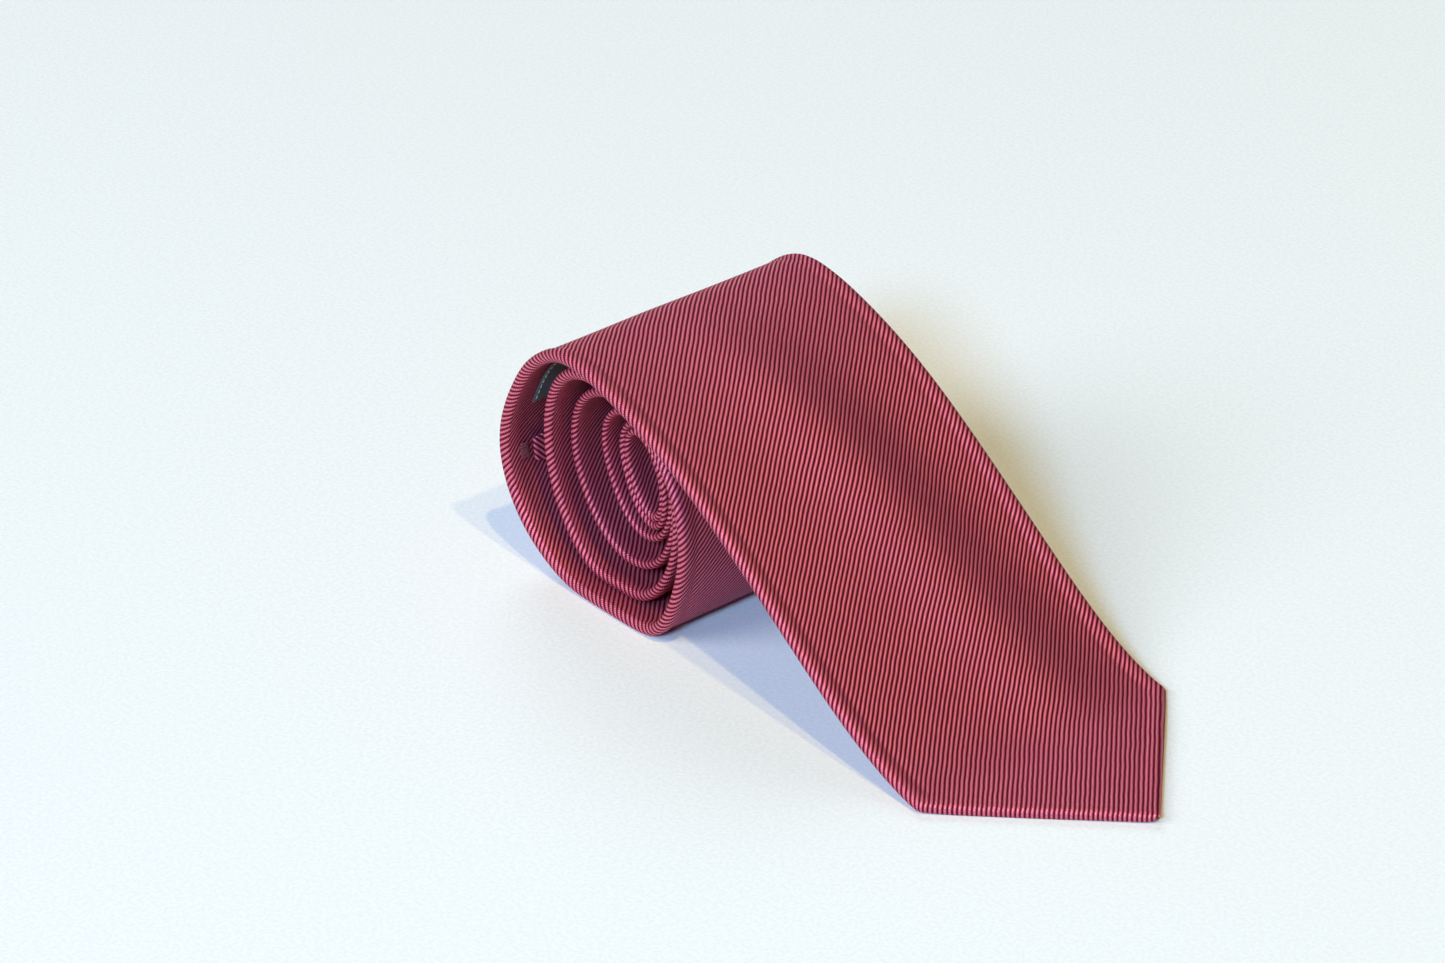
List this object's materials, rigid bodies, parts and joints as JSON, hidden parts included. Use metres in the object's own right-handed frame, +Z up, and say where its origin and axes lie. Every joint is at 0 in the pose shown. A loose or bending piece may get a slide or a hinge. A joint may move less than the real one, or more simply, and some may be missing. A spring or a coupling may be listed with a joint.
{
  "type": "necktie",
  "caption": "Rolled dress necktie in ribbed twill, lying on its side with the pointed wide blade falling free from the roll.",
  "frame": {"origin": "on the surface the tie lies on, under the middle of its bounding box", "axes": "+X from the roll towards the blade's point, +Y along the roll's axis, +Z up"},
  "size_m": [0.218, 0.09, 0.0749],
  "materials": {
    "shell_twill": "ribbed twill with a soft sheen",
    "interlining_wool": "brushed wool canvas",
    "lining_satin": "plain satin",
    "sewing_thread": "twisted thread",
    "label_grey": "woven label, blank",
    "label_white": "satin label, blank"
  },
  "bodies": {
    "roll": {"blade_shell_coil": "shell_twill", "neck_shell": "shell_twill", "tail_shell": "shell_twill", "blade_neck_seam": "sewing_thread", "neck_tail_seam": "sewing_thread", "interlining_blade": "interlining_wool", "interlining_tail": "interlining_wool", "tail_tipping": "lining_satin", "slip_stitch_coil": "sewing_thread", "tail_bar_tack": "sewing_thread", "maker_label": "label_grey", "label_stitch_near": "sewing_thread", "label_stitch_far": "sewing_thread", "keeper_tack_near": "sewing_thread", "keeper_tack_far": "sewing_thread", "care_label": "label_white", "care_label_stitch": "sewing_thread"},
    "free_blade": {"blade_shell_free": "shell_twill", "interlining_free": "interlining_wool", "blade_tipping": "lining_satin", "slip_stitch_free": "sewing_thread", "blade_bar_tack": "sewing_thread"},
    "keeper": {"keeper_loop": "shell_twill"}
  },
  "joints": [
    {"name": "blade_lift", "type": "hinge", "parent": "roll", "child": "free_blade", "pos_m": [-0.0457, 0, 0.0667], "axis": [0, -1, 0], "range_deg": [0, 60]},
    {"name": "keeper_swing", "type": "hinge", "parent": "roll", "child": "keeper", "pos_m": [-0.10247, 0, 0.03144], "axis": [0, -1, 0], "range_deg": [0, 25]}
  ]
}
